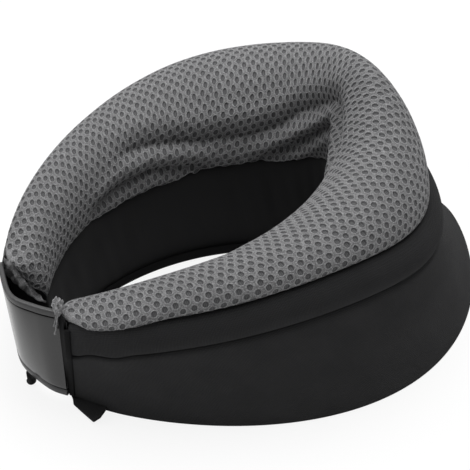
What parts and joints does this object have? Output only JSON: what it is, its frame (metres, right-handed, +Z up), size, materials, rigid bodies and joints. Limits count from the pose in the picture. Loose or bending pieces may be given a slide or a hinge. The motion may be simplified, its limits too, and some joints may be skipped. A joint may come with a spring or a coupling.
{
  "type": "travel neck pillow",
  "caption": "U-shaped foam neck pillow with a grey air-mesh roll, black knit band and flared skirt, closed in front by a leather-look strap.",
  "frame": {"origin": "centre of the overall box in plan, on the ground under the base panel", "axes": "+Z up; -Y is the front with the strap; +Y is the tall back rest; +X is the arm that carries the strap's sewn end"},
  "size_m": [0.2078, 0.2692, 0.1228],
  "materials": {
    "air_mesh": "grey three-layer air mesh with open oval holes",
    "foam": "cream open-cell foam, hidden",
    "band_knit": "matt black knit",
    "skirt_knit": "matt black fine-ribbed knit",
    "lining": "smooth black lining cloth",
    "base_cloth": "plain black cloth",
    "tape": "black woven binding tape",
    "strap_leather": "smooth black leather-look sheet, half gloss",
    "hook_tape": "black hook-and-loop tape"
  },
  "bodies": {
    "collar": {"mesh_cover": "air_mesh", "roll_foam": "foam", "band_cover": "band_knit", "skirt_cover": "skirt_knit", "base_foam": "foam", "inner_lining": "lining", "base_panel": "base_cloth", "near_end_panel": "skirt_knit", "far_end_panel": "skirt_knit", "near_end_binding": "tape", "far_end_binding": "tape", "near_mesh_gather": "air_mesh", "far_mesh_gather": "air_mesh", "near_hem_tail": "tape", "far_hem_tail": "tape", "loop_patch": "hook_tape"},
    "strap": {"strap_face": "strap_leather", "strap_lining": "lining", "strap_upper_edging": "strap_leather", "strap_lower_edging": "strap_leather", "hook_patch": "hook_tape"}
  },
  "joints": [
    {"name": "strap_swing", "type": "hinge", "parent": "collar", "child": "strap", "pos_m": [0.02532, -0.1188, 0], "axis": [0, 0, 1], "range_deg": [0, 95]}
  ]
}
